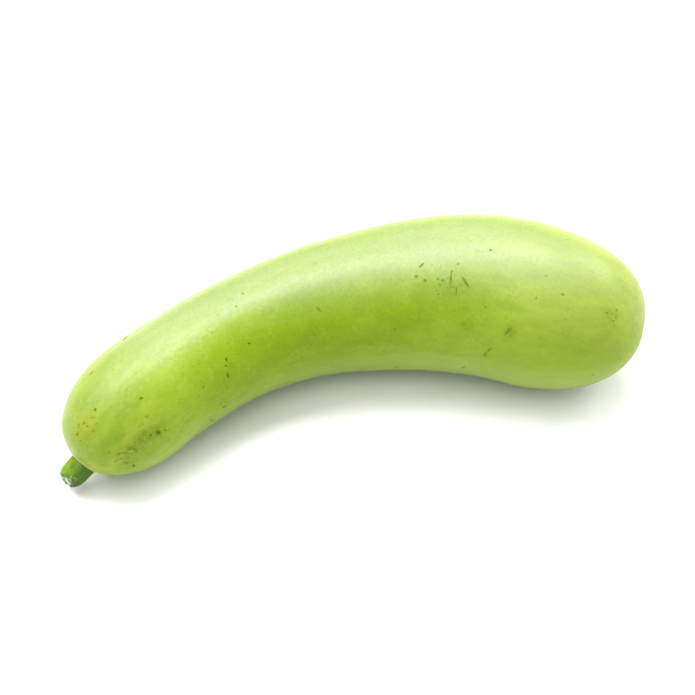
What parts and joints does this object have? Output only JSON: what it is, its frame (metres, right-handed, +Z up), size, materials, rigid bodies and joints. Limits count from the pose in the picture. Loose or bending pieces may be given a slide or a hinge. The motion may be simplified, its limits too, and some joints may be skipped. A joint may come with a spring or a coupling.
{
  "type": "bottle gourd",
  "caption": "Bent bottle gourd lying on its side: a pale green neck swells into a round bulb, and a short ribbed green stem stub with a slanted cut stands out of the neck end.",
  "frame": {"origin": "middle of the footprint, on the plane that the underside rests on", "axes": "+X along the length towards the blossom end, +Y towards the outside of the bend, +Z up from the resting plane"},
  "size_m": [0.3031, 0.1514, 0.0869],
  "materials": {
    "skin": "waxy pale green skin with fine flecks and a few small brown scars",
    "stem": "matt green, ribbed, with a pale cut"
  },
  "bodies": {
    "root": {"fruit": "skin", "stem": "stem"}
  },
  "joints": []
}
